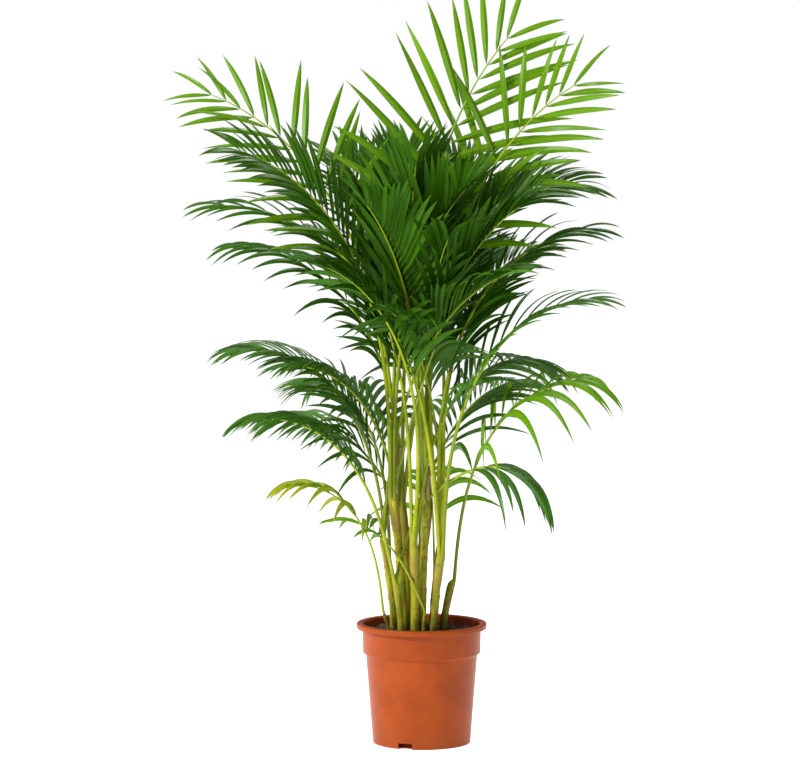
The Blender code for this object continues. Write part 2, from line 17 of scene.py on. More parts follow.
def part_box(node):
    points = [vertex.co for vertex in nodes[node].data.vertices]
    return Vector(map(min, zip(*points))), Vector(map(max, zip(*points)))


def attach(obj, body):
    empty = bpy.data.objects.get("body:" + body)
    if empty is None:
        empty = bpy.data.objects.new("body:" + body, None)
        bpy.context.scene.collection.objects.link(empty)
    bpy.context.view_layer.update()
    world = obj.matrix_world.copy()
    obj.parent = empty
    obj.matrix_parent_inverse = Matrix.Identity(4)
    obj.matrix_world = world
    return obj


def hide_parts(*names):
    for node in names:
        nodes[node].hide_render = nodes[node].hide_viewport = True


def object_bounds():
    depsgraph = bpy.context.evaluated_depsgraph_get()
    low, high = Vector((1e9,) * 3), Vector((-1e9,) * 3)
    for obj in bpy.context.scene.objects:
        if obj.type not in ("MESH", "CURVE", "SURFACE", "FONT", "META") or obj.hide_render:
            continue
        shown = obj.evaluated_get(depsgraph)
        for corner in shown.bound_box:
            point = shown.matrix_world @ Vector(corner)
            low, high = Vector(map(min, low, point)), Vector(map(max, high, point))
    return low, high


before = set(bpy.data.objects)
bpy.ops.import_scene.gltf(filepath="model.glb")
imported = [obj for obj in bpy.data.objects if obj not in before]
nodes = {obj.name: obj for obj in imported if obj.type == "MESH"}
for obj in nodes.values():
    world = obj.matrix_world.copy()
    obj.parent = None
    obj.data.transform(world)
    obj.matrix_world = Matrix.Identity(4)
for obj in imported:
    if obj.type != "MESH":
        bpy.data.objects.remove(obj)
solid_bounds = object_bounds()
scene = bpy.context.scene
rng = np.random.default_rng(7)
MM = 0.001
print(len(nodes), "solids, box", [[round(v, 3) for v in corner] for corner in solid_bounds])

# %% [markdown]
# ## Node trees written as sums
#
# Both the materials and the Geometry Nodes trees are made in Python. A `Wire` holds one socket, and
# `a * b + 1` with wires adds the Math nodes that work it out. That keeps a tree as readable as a
# formula. Any other node comes from `Tree.node`, which sets the node's settings before its inputs.


# %% A small language for node trees
def is_vector(value):
    if isinstance(value, Wire):
        return value.socket.type in ("VECTOR", "RGBA")
    return isinstance(value, (tuple, Vector))


class Wire:
    """One output socket, which Python's own + - * and / can work with."""

    def __init__(self, tree, socket):
        self.tree = tree
        self.socket = socket

    def sum(self, operation, a, b):
        if not (is_vector(a) or is_vector(b)):
            return self.tree.node("ShaderNodeMath", {0: a, 1: b}, operation=operation)
        if operation == "MULTIPLY" and not (is_vector(a) and is_vector(b)):
            vector, number = (a, b) if is_vector(a) else (b, a)
            inputs = {"Vector": vector, "Scale": number}
            return self.tree.node("ShaderNodeVectorMath", inputs, operation="SCALE")
        return self.tree.node("ShaderNodeVectorMath", {0: a, 1: b}, operation=operation)

    def __add__(self, other):
        return self.sum("ADD", self, other)

    def __sub__(self, other):
        return self.sum("SUBTRACT", self, other)

    def __rsub__(self, other):
        return self.sum("SUBTRACT", other, self)

    def __mul__(self, other):
        return self.sum("MULTIPLY", self, other)

    def __truediv__(self, other):
        return self.sum("DIVIDE", self, other)

    def __neg__(self):
        return self.sum("MULTIPLY", self, -1.0)

    def __abs__(self):
        return self.tree.node("ShaderNodeMath", {0: self}, operation="ABSOLUTE")

    def __gt__(self, other):
        return self.sum("GREATER_THAN", self, other)

    def __lt__(self, other):
        return self.sum("LESS_THAN", self, other)

    __radd__ = __add__
    __rmul__ = __mul__

    def minimum(self, other):
        return self.sum("MINIMUM", self, other)

    def step(self, start, end, low=0.0, high=1.0):
        """Runs smoothly from low to high as this value runs from start to end."""
        sizes = {"Value": self, "From Min": start, "From Max": end, "To Min": low, "To Max": high}
        return self.tree.node("ShaderNodeMapRange", sizes, interpolation_type="SMOOTHSTEP")

    def sine(self):
        return self.tree.node("ShaderNodeMath", {0: self}, operation="SINE")

    def cosine(self):
        return self.tree.node("ShaderNodeMath", {0: self}, operation="COSINE")


class Tree:
    """A node tree that is being written."""

    def __init__(self, tree):
        self.tree = tree

    def node(self, kind, inputs=(), out=0, **settings):
        """Adds a node: first its settings, then its inputs."""
        made = self.tree.nodes.new(kind)
        for name, value in settings.items():
            setattr(made, name, value)
        for name, value in dict(inputs).items():
            self.feed(made.inputs[name], value)
        return Wire(self, made.outputs[out])

    def feed(self, socket, value):
        if isinstance(value, Wire):
            self.tree.links.new(value.socket, socket)
        elif socket.type == "RGBA" and len(value) == 3:
            socket.default_value = (*value, 1.0)
        else:
            socket.default_value = value

    def mix(self, share, a, b):
        """Colour a turning to colour b as share runs from 0 to 1."""
        return self.node("ShaderNodeMix", {0: share, 6: a, 7: b}, 2, data_type="RGBA")

    def noise(self, place, scale, detail=3.0, roughness=0.55):
        """Cloudy noise, with scale in waves per metre."""
        inputs = {"Vector": place, "Scale": scale, "Detail": detail, "Roughness": roughness}
        return self.node("ShaderNodeTexNoise", inputs)


class Finish(Tree):
    """A material. Its place is metres in the object's own space."""

    def __init__(self, name):
        self.material = bpy.data.materials.new(name)
        self.material.use_nodes = True
        super().__init__(self.material.node_tree)
        self.tree.nodes.clear()
        self.place = self.node("ShaderNodeTexCoord", out=3)

    def attribute(self, name, out=2):
        return self.node("ShaderNodeAttribute", out=out, attribute_name=name)

    def stretched(self, x, y, z):
        """The place, with the pattern drawn out along an axis by a factor below one."""
        return self.place * (x, y, z)

    def bump(self, height, distance, strength=1.0):
        inputs = {"Height": height, "Distance": distance, "Strength": strength}
        return self.node("ShaderNodeBump", inputs)

    def principled(self, colour, roughness, **others):
        inputs = {"Base Color": colour, "Roughness": roughness}
        inputs.update({name.replace("_", " "): value for name, value in others.items()})
        return self.node("ShaderNodeBsdfPrincipled", inputs)

    def done(self, shader):
        output = self.tree.nodes.new("ShaderNodeOutputMaterial")
        self.tree.links.new(shader.socket, output.inputs["Surface"])
        return self.material


print("node language ready")


# %% [markdown]
# ## Reading the plant back from its solids
#
# A cane's solid is a stack of eight-cornered rings. A leaf's solid is a stack of four-cornered rings
# with leaflets growing from its sides. A leaflet is a long spike: its tip joins only three corners,
# which are the widest section's two edges and its fold. So the rings and leaflets can be found again
# from how the corners are joined, whatever order the solid stores them in.


# %% Rings and leaflets from a solid
def neighbours(vert):
    return {edge.other_vert(vert) for edge in vert.link_edges}


def welded(node):
    """The node's mesh with its loose triangles joined at their corners."""
    bm = bmesh.new()
    bm.from_mesh(nodes[node].data)
    bmesh.ops.remove_doubles(bm, verts=bm.verts, dist=0.01 * MM)
    bm.verts.index_update()
    return bm


def in_order(verts):
    """The corners in a fixed order, so that sums over them come out the same in every run."""
    return sorted(verts, key=lambda vert: vert.index)


def rings_of(verts, sides):
    """Groups corners into rings, working up from the lowest ring."""
    open_verts = set(verts)
    wave = set(sorted(verts, key=lambda v: v.co.z)[:sides])
    rings = []
    while wave:
        rings.append(in_order(wave))
        open_verts -= wave
        wave = {n for v in wave for n in neighbours(v)} & open_verts
    return rings


def middle_of(verts):
    return sum((v.co for v in in_order(verts)), Vector()) / len(verts)


def read_stem(node, sides):
    """Centre and radius of each ring of a stem."""
    bm = welded(node)
    path = []
    for ring in rings_of(bm.verts, sides):
        centre = middle_of(ring)
        radius = sum((v.co - centre).length for v in ring) / len(ring)
        path.append((centre, radius))
    bm.free()
    return path


def read_leaf(node):
    """The path of a leaf's stalk and midrib, and a list of its leaflets."""
    bm = welded(node)
    spikes = []
    for tip in bm.verts:
        if min(edge.calc_length() for edge in tip.link_edges) > 8 * MM:
            a, b, c = in_order(neighbours(tip))
            edges = max(((a, b, c), (b, c, a), (c, a, b)), key=lambda t: (t[0].co - t[1].co).length)
            spikes.append((tip, *edges))
    spent = {vert for spike in spikes for vert in spike}
    rings = rings_of([v for v in bm.verts if v not in spent], 4)
    level = {vert: i for i, ring in enumerate(rings) for vert in ring}
    centres = [middle_of(ring) for ring in rings]
    path = [(c, sum((v.co - c).length for v in ring) / len(ring)) for c, ring in zip(centres, rings)]
    leaflets = []
    for tip, one, two, fold in spikes:
        root = (neighbours(one) | neighbours(two) | neighbours(fold)) - {tip, one, two, fold}
        ring = min(level[v] for v in root)
        ahead = centres[ring + 1] - centres[ring]
        wide = (one.co - two.co) / 2
        if wide.dot(ahead) < 0:
            wide = -wide
        middle = (one.co + two.co) / 2
        foot = middle_of(root)
        leaflets.append(
            {
                "foot": foot,
                "middle": middle,
                "tip": tip.co.copy(),
                "wide": wide,
                "face": (fold.co - middle).normalized(),
                "outward": foot - (centres[ring] + centres[ring + 1]) / 2,
                "ring": ring,
            }
        )
    bm.free()
    return path, leaflets


def names_like(start):
    return sorted(name for name in nodes if name.startswith(start))


canes = {name: read_stem(name, 8) for name in names_like("cane_") + names_like("seedling_")}
leaves = {name: read_leaf(name) for name in names_like("leaf_")}
shoots = {name: read_leaf(name)[0] for name in names_like("spear_") + names_like("cut_")}
leaflet_count = sum(len(leaflets) for _, leaflets in leaves.values())
print(len(canes), "canes,", len(leaves), "leaves,", leaflet_count, "leaflets")

# %% [markdown]
# ## Two sides of a leaf
#
# Leaflets grow in two rows. Sorting them into rows lets a missing stretch be filled in: between two
# neighbours of one row a third leaflet grows, half-way between them in every way. The real leaf is
# that dense, and the solid has only every second leaflet to stay light.


# %% Sort leaflets into rows and fill the rows in
def rows_of(leaflets):
    """The two rows of a leaf's leaflets, each from the stalk to the tip."""
    rows = ([], [])
    for leaflet in sorted(leaflets, key=lambda item: item["ring"]):
        fit = [row[-1]["outward"].dot(leaflet["outward"]) if row else 0.0 for row in rows]
        if not rows[0]:
            rows[0].append(leaflet)
        elif fit[0] > 0:
            rows[0].append(leaflet)
        else:
            rows[1].append(leaflet)
    return rows


def between(a, b, share=0.5):
    """A leaflet part of the way from a to b."""
    made = {key: a[key].lerp(b[key], share) for key in ("foot", "middle", "tip", "wide", "face")}
    made["outward"] = a["outward"]
    made["ring"] = a["ring"]
    return made


def filled_rows(leaflets):
    """Both rows, with one more leaflet between each two neighbours."""
    full = []
    for row in rows_of(leaflets):
        for a, b in zip(row, row[1:]):
            full += [a]
            if b["ring"] - a["ring"] <= 2:
                full += [between(a, b, rng.uniform(0.42, 0.58))]
        full += row[-1:]
    return full


# %% [markdown]
# ## How one leaf is made
#
# A leaf's guide is a mesh with no faces. An edge path follows the stalk and midrib, and each leaflet
# is one loose point that carries its middle, its tip, its width and the way it faces. Geometry Nodes
# sweep the path into a stalk, put a small closed sleeve on each loose point, and bend every sleeve
# along a smooth curve. That suits a leaf, because all its leaflets follow one rule.


# %% Guides
def stored(mesh, name, kind, values):
    """Stores one value for each point of a mesh."""
    layer = mesh.attributes.new(name, kind, "POINT")
    flat = np.array(values, dtype=np.float32).ravel()
    layer.data.foreach_set("vector" if kind == "FLOAT_VECTOR" else "value", flat)


def guide(name, path, leaflets=(), age=0.5):
    """A path of (point, radius), with a loose point for each leaflet."""
    mesh = bpy.data.meshes.new(name)
    points = [point for point, _ in path] + [leaflet["foot"] for leaflet in leaflets]
    mesh.from_pydata(points, [(i, i + 1) for i in range(len(path) - 1)], [])
    blank = [Vector()] * len(path)
    stored(mesh, "thick", "FLOAT", [radius for _, radius in path] + [0.0] * len(leaflets))
    stored(mesh, "is_leaflet", "FLOAT", [0.0] * len(path) + [1.0] * len(leaflets))
    for key in ("foot", "handle", "tip", "wide", "face"):
        stored(mesh, key, "FLOAT_VECTOR", blank + [leaflet[key] for leaflet in leaflets])
    count = len(points)
    stored(mesh, "tint", "FLOAT", rng.uniform(0, 1, count))
    stored(mesh, "twist", "FLOAT", rng.normal(0, 0.42, count))
    stored(mesh, "curl", "FLOAT", rng.uniform(0.0, 1.0, count))
    stored(mesh, "age", "FLOAT", [age] * count)
    stored(mesh, "shade", "FLOAT", [float(rng.uniform(0, 1))] * count)
    piece = bpy.data.objects.new(name, mesh)
    scene.collection.objects.link(piece)
    return piece


print("guides ready")

# %% [markdown]
# ## Geometry Nodes from Python
#
# A `Growth` is a Geometry Nodes tree whose sizes are named inputs, so that one tree serves many
# pieces. `swept` turns a path into a smooth round bar. `grown` runs a tree on one guide and keeps
# what comes out as a plain mesh, with no modifier left on it.


# %% Geometry Nodes helpers
class Growth(Tree):
    """A Geometry Nodes tree with named inputs."""

    def __init__(self, name, **inputs):
        super().__init__(bpy.data.node_groups.new(name, "GeometryNodeTree"))
        sockets = self.tree.interface
        sockets.new_socket("Geometry", in_out="INPUT", socket_type="NodeSocketGeometry")
        sockets.new_socket("Geometry", in_out="OUTPUT", socket_type="NodeSocketGeometry")
        kinds = {int: "NodeSocketInt", float: "NodeSocketFloat"}
        for label, value in inputs.items():
            kind = kinds.get(type(value), "NodeSocketMaterial")
            socket = sockets.new_socket(label.replace("_", " "), in_out="INPUT", socket_type=kind)
            socket.default_value = value
        self.inputs = self.tree.nodes.new("NodeGroupInput")

    def given(self, label):
        return Wire(self, self.inputs.outputs[label])

    def named(self, name, kind="FLOAT"):
        return self.node("GeometryNodeInputNamedAttribute", {"Name": name}, data_type=kind)

    def vector(self, name):
        return self.named(name, "FLOAT_VECTOR")

    def store(self, geometry, name, value):
        inputs = {"Geometry": geometry, "Name": name, "Value": value}
        return self.node("GeometryNodeStoreNamedAttribute", inputs, data_type="FLOAT", domain="POINT")

    def axis(self, vector, out):
        return self.node("ShaderNodeSeparateXYZ", {"Vector": vector}, out)

    def finish(self, geometry):
        output = self.tree.nodes.new("NodeGroupOutput")
        self.tree.links.new(geometry.socket, output.inputs["Geometry"])
        return self.tree

    def join(self, *parts):
        made = self.tree.nodes.new("GeometryNodeJoinGeometry")
        for part in parts:
            self.tree.links.new(part.socket, made.inputs[0])
        return Wire(self, made.outputs[0])

    def curve(self, factor, points):
        """A value read from a curve drawn through these points."""
        made = self.node("ShaderNodeFloatCurve", {"Value": factor})
        mapping = made.socket.node.mapping
        dots = mapping.curves[0].points
        while len(dots) < len(points):
            dots.new(0.5, 0.5)
        for dot, (x, y) in zip(dots, points):
            dot.location = (x, y)
        mapping.update()
        return made

    def swept(self, geometry, step, sides, material):
        """A smooth round bar along the guide's path, as thick as the path says."""
        path = self.node("GeometryNodeMeshToCurve", {"Mesh": geometry})
        path = self.node("GeometryNodeCurveSplineType", {"Curve": path}, spline_type="CATMULL_ROM")
        path = self.node("GeometryNodeResampleCurve", {"Curve": path, "Length": step}, mode="LENGTH")
        path = self.store(path, "along", self.node("GeometryNodeSplineParameter"))
        path = self.store(path, "metres", self.node("GeometryNodeSplineParameter", out=1))
        profile = self.node("GeometryNodeCurvePrimitiveCircle", {"Resolution": sides, "Radius": 1.0})
        sizes = {"Curve": path, "Profile Curve": profile, "Scale": self.named("thick")}
        bar = self.node("GeometryNodeCurveToMesh", {**sizes, "Fill Caps": True})
        return self.node("GeometryNodeSetMaterial", {"Geometry": bar, "Material": material})


def grown(piece, growth, **values):
    """Runs a tree on a guide and keeps the result as a plain mesh."""
    modifier = piece.modifiers.new("growth", "NODES")
    modifier.node_group = growth
    sockets = growth.interface.items_tree
    ids = {item.name: item.identifier for item in sockets if item.in_out == "INPUT"}
    for label, value in values.items():
        modifier[ids[label.replace("_", " ")]] = value
    bpy.context.view_layer.update()
    depsgraph = bpy.context.evaluated_depsgraph_get()
    mesh = bpy.data.meshes.new_from_object(piece.evaluated_get(depsgraph))
    piece.modifiers.remove(modifier)
    mesh.name = piece.name
    piece.data = mesh
    return piece


print("growing helpers ready")

# %% [markdown]
# ## The leaf tree
#
# The sleeve is a cylinder four corners round. Its corners keep how far along the leaflet they are,
# how far across, and how far up, as named attributes. The curve of a leaflet is a quadratic one:
# its handle is placed so that it passes the middle at 45% of the way. The cross-section is a roof
# with its ridge up, which is how the leaflets of this palm are folded.


# %% The leaf tree
def leaf_growth(blade, stalk):
    sizes = {"sides": 8, "stalk_step": 6 * MM, "blade_steps": 12, "blade_width": 1.2, "tip_droop": 0.10}
    grow = Growth("palm_leaf", **sizes, blade=blade, stalk=stalk)
    base = Wire(grow, grow.inputs.outputs["Geometry"])
    bar = grow.swept(base, grow.given("stalk step"), grow.given("sides"), grow.given("stalk"))
    sizes = {"Vertices": 4, "Side Segments": grow.given("blade steps"), "Radius": 1.0, "Depth": 2.0}
    sleeve = grow.node("GeometryNodeMeshCylinder", sizes, fill_type="NONE")
    spot = grow.node("GeometryNodeInputPosition")
    sleeve = grow.store(sleeve, "along", grow.axis(spot, 2) * 0.5 + 0.5)
    sleeve = grow.store(sleeve, "across", -grow.axis(spot, 0))  # mirrored, so its faces point outwards
    sleeve = grow.store(sleeve, "up", grow.axis(spot, 1))
    picks = {"Points": base, "Selection": grow.named("is_leaflet") > 0.5, "Instance": sleeve}
    blades = grow.node("GeometryNodeInstanceOnPoints", picks)
    blades = grow.node("GeometryNodeRealizeInstances", {"Geometry": blades})
    blades = grow.node("GeometryNodeSetPosition", {"Geometry": blades, "Position": leaflet_place(grow)})
    blades = grow.node("GeometryNodeMergeByDistance", {"Geometry": blades, "Distance": 0.01 * MM})
    blades = grow.node("GeometryNodeSetShadeSmooth", {"Geometry": blades}, domain="FACE")
    edges = {0: abs(grow.named("across")) > 0.99, 1: abs(grow.named("up")) > 0.99}
    crease = grow.node("FunctionNodeBooleanMath", edges, operation="OR")
    flat = {"Geometry": blades, "Selection": crease, "Shade Smooth": False}
    blades = grow.node("GeometryNodeSetShadeSmooth", flat, domain="EDGE")
    blades = grow.node("GeometryNodeSetMaterial", {"Geometry": blades, "Material": grow.given("blade")})
    return grow.finish(grow.join(bar, blades))


def cross(grow, a, b):
    return grow.node("ShaderNodeVectorMath", {0: a, 1: b}, operation="CROSS_PRODUCT")


def unit(grow, a):
    return grow.node("ShaderNodeVectorMath", {0: a}, operation="NORMALIZE")


def dot(grow, a, b):
    return grow.node("ShaderNodeVectorMath", {0: a, 1: b}, 1, operation="DOT_PRODUCT")


# How wide a leaflet is, as a share of its greatest width, at shares of its length.
LEAFLET_OUTLINE = (
    (0, 0),
    (0.03, 0.30),
    (0.12, 0.62),
    (0.28, 0.92),
    (0.45, 1),
    (0.7, 0.80),
    (0.9, 0.36),
    (1, 0),
)
FOLD_AT_FOOT, FOLD_AT_TIP = 0.62, 0.16  # height of the roof against half its width
THICK_AT_FOOT, THICK_AT_TIP = 0.55 * MM, 0.18 * MM
RIPPLE = 0.10  # how far the edges wave, against half the width


def leaflet_place(grow):
    """Where a corner of the sleeve goes, from its three named numbers and its leaflet's guide."""
    t, across, up = grow.named("along"), grow.named("across"), grow.named("up")
    foot, handle, tip = grow.vector("foot"), grow.vector("handle"), grow.vector("tip")
    wide, face = grow.vector("wide"), grow.vector("face")
    back = 1.0 - t
    spine = foot * (back * back) + handle * (t * back * 2.0) + tip * (t * t)
    ahead = (handle - foot) * (back * 2.0) + (tip - handle) * (t * 2.0)
    side = unit(grow, wide)
    top = unit(grow, cross(grow, side, ahead))
    turned = dot(grow, cross(grow, side, tip - foot), face)
    hand = (turned > 0.0) * 2.0 - 1.0  # both turn over together, so that no sleeve is inside out
    side, top = side * hand, top * hand
    swing = grow.named("twist") * t
    swung = side * swing.cosine() + top * swing.sine()
    lifted = top * swing.cosine() - side * swing.sine()
    half = grow.node("ShaderNodeVectorMath", {0: wide}, 1, operation="LENGTH")
    width = grow.curve(t, LEAFLET_OUTLINE) * half * grow.given("blade width")
    fold = t.step(0.0, 1.0, FOLD_AT_FOOT, FOLD_AT_TIP) * width
    waves = (t * 9.0 + grow.named("tint") * 40.0).sine() * grow.named("curl") * width * RIPPLE
    full = (width / (half + 1e-5)).minimum(0.5) * 2.0
    thick = t.step(0.0, 1.0, THICK_AT_FOOT, THICK_AT_TIP) * full
    rise = fold * (0.6 - abs(across)) + thick * up + waves * across
    reach = grow.node("ShaderNodeVectorMath", {0: tip - foot}, 1, operation="LENGTH")
    droop = grow.named("curl") * t * t * t * reach * grow.given("tip droop")
    hang = grow.node("ShaderNodeCombineXYZ", {"Z": -droop})
    return spine + swung * (width * across) + lifted * rise + hang


print("leaf tree ready")

# %% [markdown]
# ## Leaf finishes
#
# A palm leaflet is dark and waxy above and a little paler beneath, with veins that run along it. Light
# also comes through it, which is why young leaves glow against a bright window. A translucent shader
# mixed under the waxy one gives that glow. Its colour is fixed, and only the share of it varies.


# %% Blade material
def blade_finish(name, dark, light, through, share, shine, old=(0.46, 0.42, 0.02)):
    leaf = Finish(name)
    across, along = leaf.attribute("across"), leaf.attribute("along")
    tint, age = leaf.attribute("tint"), leaf.attribute("age")
    veins = (across * 34.0).sine() * 0.5 + 0.5
    cloud = leaf.noise(leaf.place, 38.0, 3.0)
    base = leaf.mix(tint * 0.40 + cloud * 0.30 + leaf.attribute("shade") * 0.30, dark, light)
    base = leaf.mix(veins * 0.16, base, light)
    midrib = abs(across).step(0.10, 0.02)
    base = leaf.mix(midrib * 0.35, base, tuple(2.2 * c for c in light))
    yellow = (age + cloud * 0.8 + along.step(0.1, 1.0) * 0.5 - 1.25).step(0.0, 0.5)
    base = leaf.mix(yellow, base, old)
    speck = leaf.noise(leaf.place, 420.0, 1.0).step(0.68, 0.74)
    base = leaf.mix(speck * 0.30, base, (0.16, 0.14, 0.03))
    dry = along.step(0.965, 0.995) * (tint > 0.35)
    base = leaf.mix(dry * 0.85, base, (0.22, 0.13, 0.04))
    rough = cloud * 0.16 + 0.27
    height = veins * 0.6 + leaf.noise(leaf.place, 900.0, 2.0) * 0.4
    bump = leaf.bump(height, 0.12 * MM, 0.35)
    skin = leaf.principled(base, rough, Normal=bump, Specular_IOR_Level=shine)
    glow = leaf.node("ShaderNodeBsdfTranslucent", {"Color": through})
    return leaf.done(leaf.node("ShaderNodeMixShader", {0: share, 1: skin, 2: glow}))


# Each line is the darkest colour, the lightest, the light that comes through, its share, the shine.
MATURE = ((0.014, 0.075, 0.004), (0.080, 0.230, 0.012), (0.16, 0.42, 0.010), 0.22, 0.30)
GROWN = ((0.006, 0.052, 0.002), (0.065, 0.200, 0.004), (0.16, 0.38, 0.004), 0.20, 0.18)
# The young copy is lighter, as young fronds and seedling leaves are. On the top fronds its lighter
# colour also paints the light that shines through them from behind.
YOUNG_PAINTED_LIGHT = ((0.085, 0.210, 0.002), (0.190, 0.370, 0.005), (0.40, 0.72, 0.006), 0.34, 0.24)
leaf_dark = blade_finish("leaf_mature", *MATURE)
leaf_mid = blade_finish("leaf_grown", *GROWN)
leaf_bright = blade_finish("leaf_young", *YOUNG_PAINTED_LIGHT)

# %% [markdown]
# ## Stalk finish
#
# The stalks of this palm are yellow-green, lighter than the leaflets, with fine dark specks low down
# and a faint stripe along them. Old stalks turn orange at the foot. Towards the tip the colour turns a
# darker green, which is painted shade.


# %% Stalk material
def stalk_finish(name, low, high, speckle):
    stalk = Finish(name)
    along = stalk.attribute("along")
    cloud = stalk.noise(stalk.place, 60.0, 4.0)
    # The stalk runs from its foot colour to a darker green at the tip, and that darker tip colour is
    # painted shade.
    base = stalk.mix(along.step(0.15, 0.85), low, high)
    base = stalk.mix(stalk.attribute("shade") * along.step(0.8, 0.2) * 0.75, base, (0.09, 0.17, 0.006))
    base = stalk.mix(cloud.step(0.35, 0.7) * 0.45, base, tuple(0.55 * c for c in high))
    specks = stalk.noise(stalk.place, 700.0, 1.0).step(0.60, 0.68) * along.step(0.65, 0.05)
    base = stalk.mix(specks * speckle, base, (0.08, 0.05, 0.015))
    foot = (cloud * 0.10 - along).step(-0.10, 0.03)
    base = stalk.mix(foot * 0.7, base, (0.30, 0.17, 0.03))
    lines = stalk.noise(stalk.stretched(1.0, 1.0, 0.05), 900.0, 2.0)
    bump = stalk.bump(lines, 0.2 * MM, 0.4)
    return stalk.done(stalk.principled(base, cloud * 0.2 + 0.34, Normal=bump, Specular_IOR_Level=0.22))


# The second colour, the darker green at the tip, is painted shade.
stalk_green = stalk_finish("leaf_stalk", (0.42, 0.46, 0.008), (0.30, 0.43, 0.018), 0.7)
palm_leaf = leaf_growth(leaf_mid, stalk_green)
print("leaf finishes ready")

# %% [markdown]
# ## Growing the leaves
#
# The three long fronds at the top are young and bright. They are paler, as young fronds are, and their
# lighter finish also paints the light that shines through them from behind. The seedling leaves are
# pale, and one of them has begun to turn yellow. Low in the clump the leaves wear the mature copy of
# the finish, and those in the crown wear the grown one. Each stalk is carried further down, getting
# thicker, so that it wraps the cane as a real sheath does.


# %% Make every leaf
# These leaves wear the lighter young finish. Young and seedling leaves are paler, and on the top fronds
# the finish also paints the light shining through them from behind.
BRIGHT = {"leaf_01", "leaf_02", "leaf_03", "leaf_34", "leaf_35", "leaf_36", "leaf_25"}
LOW = {f"leaf_{i:02d}" for i in range(26, 33)}
SPARSE = BRIGHT | {f"leaf_{i:02d}" for i in (13, 14, 15, 16, 33)}
CURVE_MIDDLE = 0.45  # the share of a leaflet's length where the solid's middle section is
CROWN = 0.62  # leaves whose tip is above this share of the plant's height belong to the crown
YELLOWING = "leaf_34"
# How the sheath closes on its cane: how far under the cane's top in millimetres, how far towards
# the stalk it leans, and its radius as a share of the cane's.
SHEATH = ((78, 0.10, 0.84), (58, 0.32, 0.97), (34, 0.50, 0.92), (12, 0.80, 0.74))


def handled(leaflets):
    """Gives each leaflet the curve handle that takes its curve through its middle."""
    s = CURVE_MIDDLE
    for leaflet in leaflets:
        pull = leaflet["middle"] - leaflet["foot"] * (1 - s) ** 2 - leaflet["tip"] * s**2
        leaflet["handle"] = pull / (2 * s * (1 - s))
    return leaflets


def sheathed(path):
    """The stalk with a sheath under it that closes round the nearest cane."""
    first, radius = path[0]
    cane = min(canes.values(), key=lambda line: (line[-1][0] - first).length)
    top, cane_radius = cane[-1]
    down = (cane[-2][0] - top).normalized()
    lean = first - top
    sheath = [(top + lean * k + down * (d * MM), cane_radius * r) for d, k, r in SHEATH]
    return sheath + [(first, max(radius * 1.25, cane_radius * 0.52))] + path[1:]


def blade_of(name, height):
    """A leaf's blade finish, and its leaflets' width against the solid's."""
    if name in BRIGHT:
        return leaf_bright, 1.18
    finish = leaf_mid if height > CROWN else leaf_dark
    return finish, 1.05 if name in SPARSE else (0.92 if name in LOW else 1.15)


pieces = {}
for name, (path, leaflets) in leaves.items():
    height = path[-1][0].z / solid_bounds[1][2]
    age = 1.0 if name == YELLOWING else float(rng.uniform(0.0, 0.35))
    grown_leaflets = handled(leaflets if name in SPARSE else filled_rows(leaflets))
    piece = guide(name + "_fine", sheathed(path), grown_leaflets, age)
    blade, width = blade_of(name, height)
    grown(piece, palm_leaf, blade=blade, stalk=stalk_green, blade_width=width)
    pieces[name] = piece
    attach(piece, "root")
    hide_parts(name)
leaf_faces = sum(len(piece.data.polygons) for piece in pieces.values())
print("leaves:", len(pieces), "faces:", leaf_faces)

# %% [markdown]
# ## Canes
#
# Each cane is a stem wrapped in the sheaths of the leaves it has carried. Where a leaf has dropped off,
# a ring is left. The cane tree sweeps the stem at a fine step and swells it just under each ring. The
# distance up the stem is stored, so that the material can colour the rings.


# %% The cane tree and its finish
RING_GAP = 0.058


def cane_growth(skin):
    grow = Growth("palm_cane", ring_gap=RING_GAP, step=1.6 * MM, sides=20, skin=skin)
    base = Wire(grow, grow.inputs.outputs["Geometry"])
    bar = grow.swept(base, grow.given("step"), grow.given("sides"), grow.given("skin"))
    spot = grow.node("GeometryNodeInputPosition")
    turn = grow.named("metres") / grow.given("ring gap")
    phase = grow.node("ShaderNodeMath", {0: turn + grow.named("shift")}, operation="FRACT")
    swell = phase.step(0.70, 0.99) * phase.step(1.0, 0.99)
    way = grow.node("GeometryNodeInputNormal")
    ribs = swell * 0.6 * MM
    rough = grow.node("ShaderNodeTexNoise", {"Vector": spot, "Scale": 45.0, "Detail": 2.0})
    lumps = (rough - 0.5) * 1.6 * MM
    bar = grow.node("GeometryNodeSetPosition", {"Geometry": bar, "Offset": way * (ribs + lumps)})
    bar = grow.store(bar, "ring", phase)
    bar = grow.node("GeometryNodeSetShadeSmooth", {"Geometry": bar}, domain="FACE")
    return grow.finish(bar)


